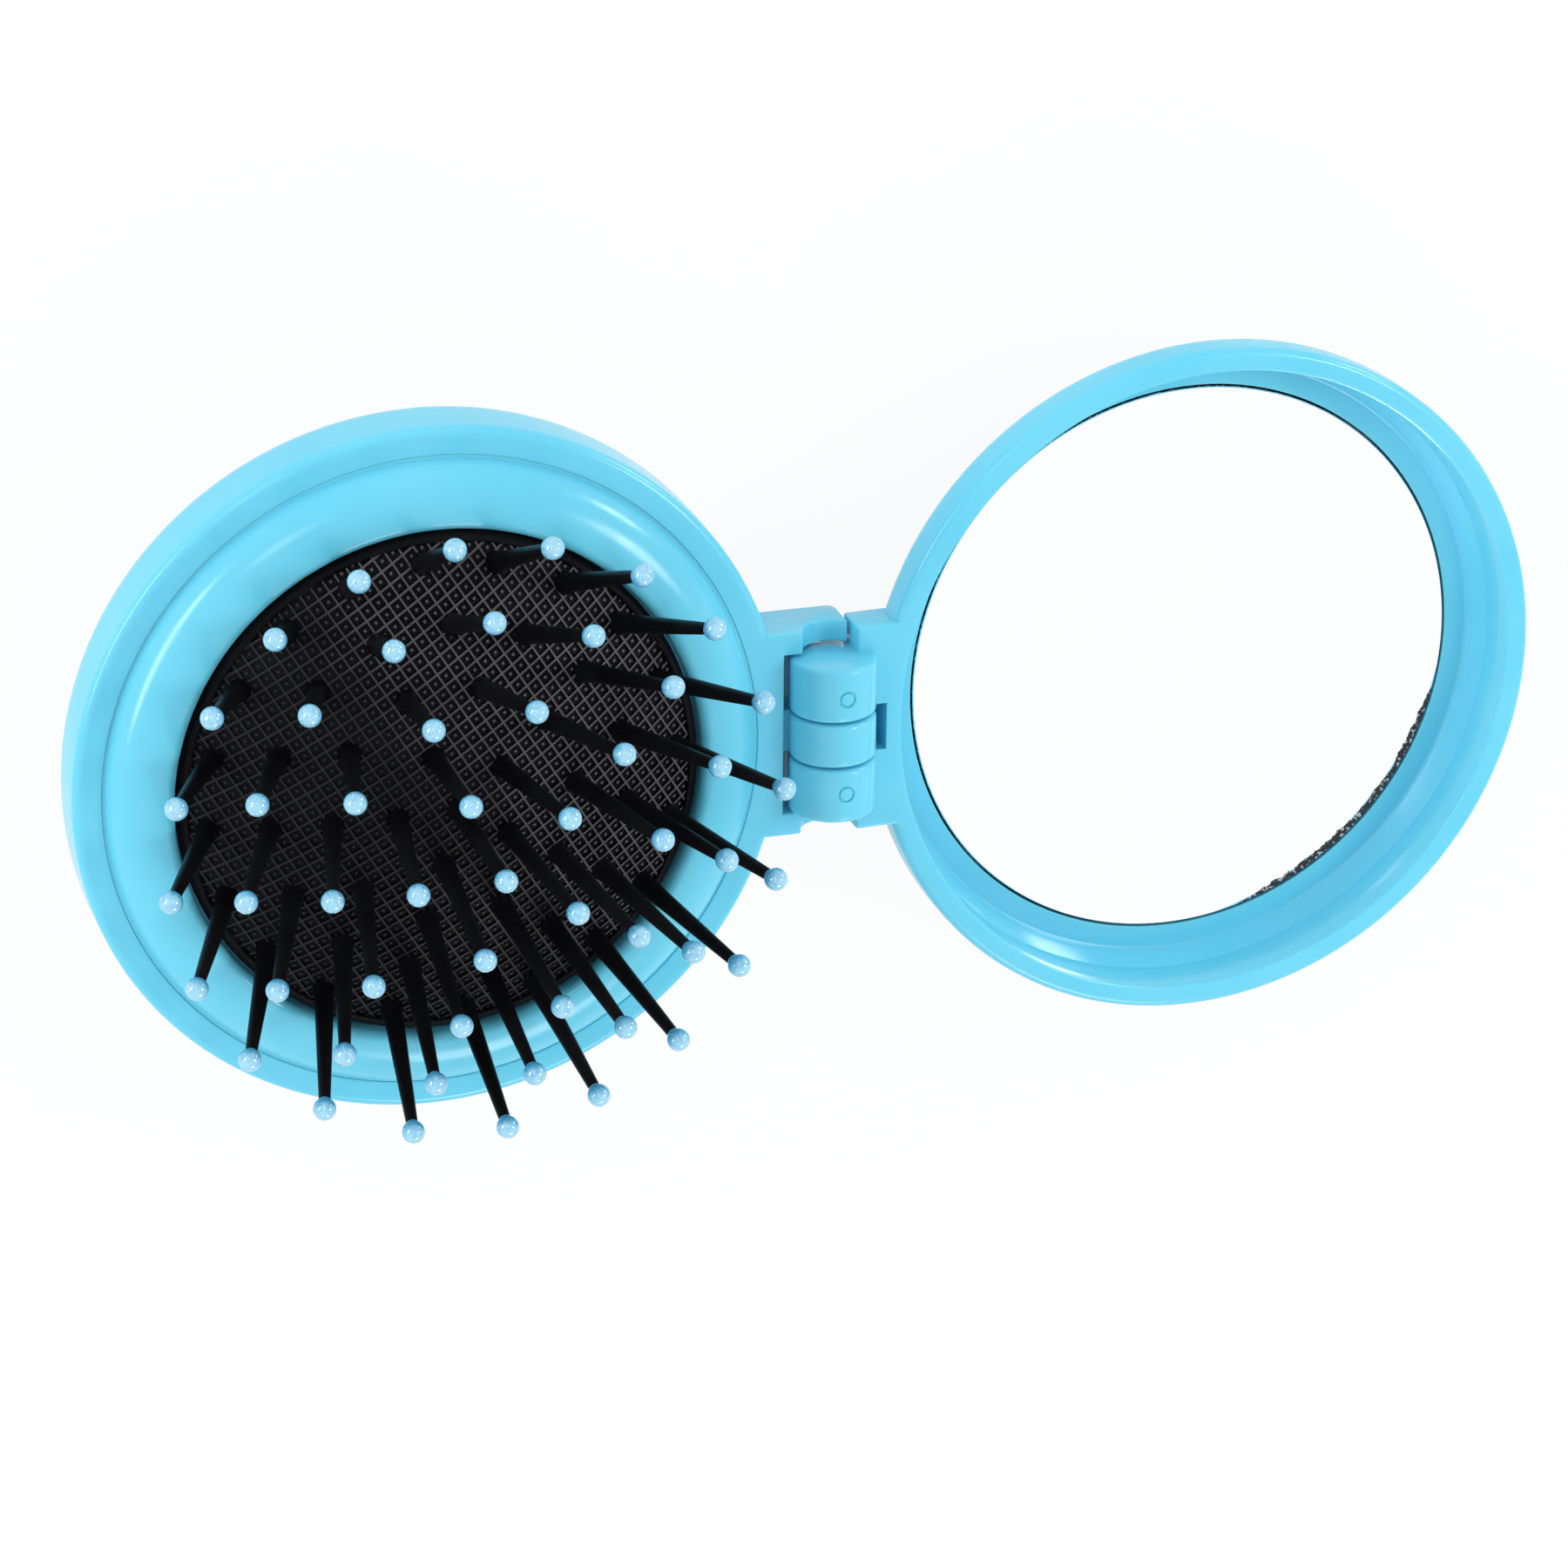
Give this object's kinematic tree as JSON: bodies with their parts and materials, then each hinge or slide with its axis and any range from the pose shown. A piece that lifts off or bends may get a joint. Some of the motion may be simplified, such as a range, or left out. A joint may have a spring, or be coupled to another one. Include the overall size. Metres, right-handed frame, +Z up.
{
  "type": "folding hairbrush with mirror",
  "caption": "Round folding pocket hairbrush open flat: cushion brush with ball-tipped pins in one half, mirror in the hinged lid, push-up pad button in the back.",
  "frame": {"origin": "on the base plane, straight below the middle of the lid hinge", "axes": "+X from the brush to the open lid, +Y along the hinge, +Z up out of the brush"},
  "size_m": [0.1388, 0.065, 0.0422],
  "materials": {
    "shell_plastic": "glossy",
    "inner_plastic": "satin",
    "cushion_rubber": "matt with a moulded waffle pattern",
    "pin_nylon": "satin",
    "tip_plastic": "glossy, slightly translucent",
    "mirror_glass": "polished",
    "adhesive_foam": "matt",
    "pin_steel": "drawn"
  },
  "bodies": {
    "case": {"case_body": "shell_plastic", "case_bezel": "shell_plastic", "guide_sleeve": "inner_plastic"},
    "lid": {"lid_shell": "shell_plastic", "mirror": "mirror_glass", "mirror_adhesive": "adhesive_foam", "hinge_pin": "pin_steel"},
    "pad": {"cushion_carrier": "inner_plastic", "push_button": "shell_plastic", "cushion": "cushion_rubber"},
    "core": {"core_pins": "pin_nylon", "core_tips": "tip_plastic"},
    "inner": {"inner_pins": "pin_nylon", "inner_tips": "tip_plastic"},
    "middle_01": {"middle_pins_01": "pin_nylon", "middle_tips_01": "tip_plastic"},
    "middle_02": {"middle_pins_02": "pin_nylon", "middle_tips_02": "tip_plastic"},
    "middle_03": {"middle_pins_03": "pin_nylon", "middle_tips_03": "tip_plastic"},
    "middle_04": {"middle_pins_04": "pin_nylon", "middle_tips_04": "tip_plastic"},
    "middle_05": {"middle_pins_05": "pin_nylon", "middle_tips_05": "tip_plastic"},
    "outer_01": {"outer_pins_01": "pin_nylon", "outer_tips_01": "tip_plastic"},
    "outer_02": {"outer_pins_02": "pin_nylon", "outer_tips_02": "tip_plastic"},
    "outer_03": {"outer_pins_03": "pin_nylon", "outer_tips_03": "tip_plastic"},
    "outer_04": {"outer_pins_04": "pin_nylon", "outer_tips_04": "tip_plastic"},
    "outer_05": {"outer_pins_05": "pin_nylon", "outer_tips_05": "tip_plastic"},
    "outer_06": {"outer_pins_06": "pin_nylon", "outer_tips_06": "tip_plastic"},
    "outer_07": {"outer_pins_07": "pin_nylon", "outer_tips_07": "tip_plastic"},
    "outer_08": {"outer_pins_08": "pin_nylon", "outer_tips_08": "tip_plastic"},
    "outer_09": {"outer_pins_09": "pin_nylon", "outer_tips_09": "tip_plastic"},
    "outer_10": {"outer_pins_10": "pin_nylon", "outer_tips_10": "tip_plastic"}
  },
  "joints": [
    {"name": "lid_hinge", "type": "hinge", "parent": "case", "child": "lid", "pos_m": [0, 0, 0.0168], "axis": [0, -1, 0], "range_deg": [0, 182]},
    {"name": "pad_slide", "type": "slide", "parent": "case", "child": "pad", "axis": [0, 0, -1], "range_m": [0, 0.0136]},
    {"name": "core_slide", "type": "slide", "parent": "pad", "child": "core", "axis": [0, 0, -1], "range_m": [0, 0.0059], "deforming": ["cushion"]},
    {"name": "inner_slide", "type": "slide", "parent": "pad", "child": "inner", "axis": [0, 0, -1], "range_m": [0, 0.0047]},
    {"name": "middle_01_tilt", "type": "hinge", "parent": "pad", "child": "middle_01", "pos_m": [-0.01406, 0.01939, 0.01885], "axis": [0.6464, -0.763, 0], "range_deg": [0, 14]},
    {"name": "middle_02_tilt", "type": "hinge", "parent": "pad", "child": "middle_02", "pos_m": [-0.04832, 0.02776, 0.01885], "axis": [0.9254, 0.379, 0], "range_deg": [0, 14]},
    {"name": "middle_03_tilt", "type": "hinge", "parent": "pad", "child": "middle_03", "pos_m": [-0.06687, -0.00223, 0.01885], "axis": [-0.0745, 0.9972, 0], "range_deg": [0, 14]},
    {"name": "middle_04_tilt", "type": "hinge", "parent": "pad", "child": "middle_04", "pos_m": [-0.04407, -0.02914, 0.01885], "axis": [-0.9714, 0.2373, 0], "range_deg": [0, 14]},
    {"name": "middle_05_tilt", "type": "hinge", "parent": "pad", "child": "middle_05", "pos_m": [-0.01143, -0.01578, 0.01885], "axis": [-0.5259, -0.8505, 0], "range_deg": [0, 14]},
    {"name": "outer_01_tilt", "type": "hinge", "parent": "pad", "child": "outer_01", "pos_m": [-0.02096, 0.01857, 0.01885], "axis": [0.7578, -0.6525, 0], "range_deg": [0, 23]},
    {"name": "outer_02_tilt", "type": "hinge", "parent": "pad", "child": "outer_02", "pos_m": [-0.03493, 0.02442, 0.01885], "axis": [0.9966, -0.0825, 0], "range_deg": [0, 23]},
    {"name": "outer_03_tilt", "type": "hinge", "parent": "pad", "child": "outer_03", "pos_m": [-0.04967, 0.02094, 0.01885], "axis": [0.8547, 0.5191, 0], "range_deg": [0, 23]},
    {"name": "outer_04_tilt", "type": "hinge", "parent": "pad", "child": "outer_04", "pos_m": [-0.05955, 0.00947, 0.01885], "axis": [0.3864, 0.9223, 0], "range_deg": [0, 23]},
    {"name": "outer_05_tilt", "type": "hinge", "parent": "pad", "child": "outer_05", "pos_m": [-0.0608, -0.00562, 0.01885], "axis": [-0.2295, 0.9733, 0], "range_deg": [0, 23]},
    {"name": "outer_06_tilt", "type": "hinge", "parent": "pad", "child": "outer_06", "pos_m": [-0.05294, -0.01857, 0.01885], "axis": [-0.7578, 0.6525, 0], "range_deg": [0, 23]},
    {"name": "outer_07_tilt", "type": "hinge", "parent": "pad", "child": "outer_07", "pos_m": [-0.03897, -0.02442, 0.01885], "axis": [-0.9966, 0.0825, 0], "range_deg": [0, 23]},
    {"name": "outer_08_tilt", "type": "hinge", "parent": "pad", "child": "outer_08", "pos_m": [-0.02423, -0.02094, 0.01885], "axis": [-0.8547, -0.5191, 0], "range_deg": [0, 23]},
    {"name": "outer_09_tilt", "type": "hinge", "parent": "pad", "child": "outer_09", "pos_m": [-0.01435, -0.00947, 0.01885], "axis": [-0.3864, -0.9223, 0], "range_deg": [0, 23]},
    {"name": "outer_10_tilt", "type": "hinge", "parent": "pad", "child": "outer_10", "pos_m": [-0.0131, 0.00562, 0.01885], "axis": [0.2295, -0.9733, 0], "range_deg": [0, 23]}
  ],
  "couplings": [
    {"joint": "pad_slide", "follows": "lid_hinge", "m_per_rad": 0.00428},
    {"joint": "core_slide", "follows": "lid_hinge", "m_per_rad": 0.001857},
    {"joint": "inner_slide", "follows": "lid_hinge", "m_per_rad": 0.001479},
    {"joint": "middle_01_tilt", "follows": "lid_hinge", "ratio": 0.0769},
    {"joint": "middle_02_tilt", "follows": "lid_hinge", "ratio": 0.0769},
    {"joint": "middle_03_tilt", "follows": "lid_hinge", "ratio": 0.0769},
    {"joint": "middle_04_tilt", "follows": "lid_hinge", "ratio": 0.0769},
    {"joint": "middle_05_tilt", "follows": "lid_hinge", "ratio": 0.0769},
    {"joint": "outer_01_tilt", "follows": "lid_hinge", "ratio": 0.1263},
    {"joint": "outer_02_tilt", "follows": "lid_hinge", "ratio": 0.1263},
    {"joint": "outer_03_tilt", "follows": "lid_hinge", "ratio": 0.1263},
    {"joint": "outer_04_tilt", "follows": "lid_hinge", "ratio": 0.1263},
    {"joint": "outer_05_tilt", "follows": "lid_hinge", "ratio": 0.1263},
    {"joint": "outer_06_tilt", "follows": "lid_hinge", "ratio": 0.1263},
    {"joint": "outer_07_tilt", "follows": "lid_hinge", "ratio": 0.1263},
    {"joint": "outer_08_tilt", "follows": "lid_hinge", "ratio": 0.1263},
    {"joint": "outer_09_tilt", "follows": "lid_hinge", "ratio": 0.1263},
    {"joint": "outer_10_tilt", "follows": "lid_hinge", "ratio": 0.1263}
  ]
}
